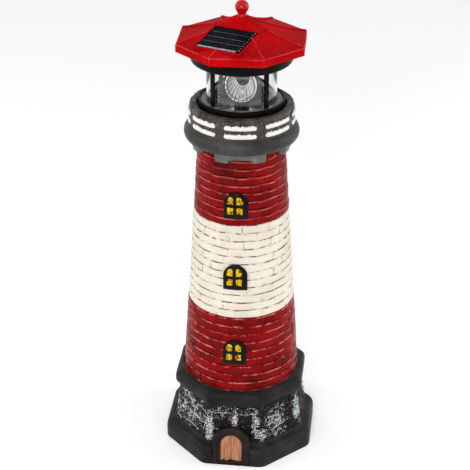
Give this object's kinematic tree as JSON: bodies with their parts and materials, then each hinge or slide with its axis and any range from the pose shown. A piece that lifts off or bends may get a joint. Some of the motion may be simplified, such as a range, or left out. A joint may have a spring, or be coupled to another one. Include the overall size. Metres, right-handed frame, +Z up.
{
  "type": "solar lighthouse garden ornament",
  "caption": "Tapering brick lighthouse ornament on an eight-sided base, with a lift-off solar lantern under a ribbed roof and a mirror that turns behind clear glazing.",
  "frame": {"origin": "middle of the footprint, on the ground", "axes": "+Z up the tower; the door and windows face -Y"},
  "size_m": [0.1468, 0.1468, 0.4562],
  "materials": {
    "weathered_resin": "matt",
    "painted_resin": "satin",
    "dark_resin": "matt",
    "black_plastic": "satin",
    "pale_plastic": "gloss",
    "clear_plastic": "clear",
    "board": "satin",
    "red_plastic": "gloss",
    "solar_glass": "gloss",
    "screw_steel": "plated",
    "motor_steel": "plated",
    "battery_can": "satin",
    "mirror_finish": "polished",
    "brass": "machined"
  },
  "bodies": {
    "tower": {"base_casting": "weathered_resin", "shaft_casting": "painted_resin", "gallery_casting": "dark_resin"},
    "lantern": {"lantern_cup": "black_plastic", "floor_disc": "pale_plastic", "thrust_washer": "pale_plastic", "lens_tube": "clear_plastic", "lantern_posts": "black_plastic", "roof_bowl": "black_plastic", "circuit_board": "board", "roof_shell": "red_plastic", "solar_panel": "solar_glass", "finial": "red_plastic", "roof_screws": "screw_steel", "motor": "motor_steel", "chassis_plate": "pale_plastic", "chassis_screws": "screw_steel", "lamp_post": "pale_plastic", "lamp": "clear_plastic", "base_cover": "black_plastic", "cover_screws": "screw_steel", "battery_hatch": "black_plastic", "battery": "battery_can", "battery_contacts": "screw_steel", "switch_case": "motor_steel"},
    "beacon": {"beacon_stem": "black_plastic", "mirror": "mirror_finish", "drive_gear": "pale_plastic"},
    "rotor": {"motor_shaft": "screw_steel", "pinion": "brass"},
    "switch": {"switch_slider": "black_plastic"}
  },
  "joints": [
    {"name": "lantern_lift", "type": "slide", "parent": "tower", "child": "lantern", "axis": [0, 0, 1], "range_m": [0, 0.06]},
    {"name": "beacon_spin", "type": "hinge", "parent": "lantern", "child": "beacon", "pos_m": [0, 0, 0.37], "axis": [0, 0, 1], "continuous": true},
    {"name": "motor_spin", "type": "hinge", "parent": "lantern", "child": "rotor", "pos_m": [0, -0.0192, 0.345], "axis": [0, 0, 1], "continuous": true},
    {"name": "switch_slide", "type": "slide", "parent": "lantern", "child": "switch", "axis": [1, 0, 0], "range_m": [0, 0.0025]}
  ],
  "couplings": [
    {"joint": "motor_spin", "follows": "beacon_spin", "ratio": -3}
  ]
}
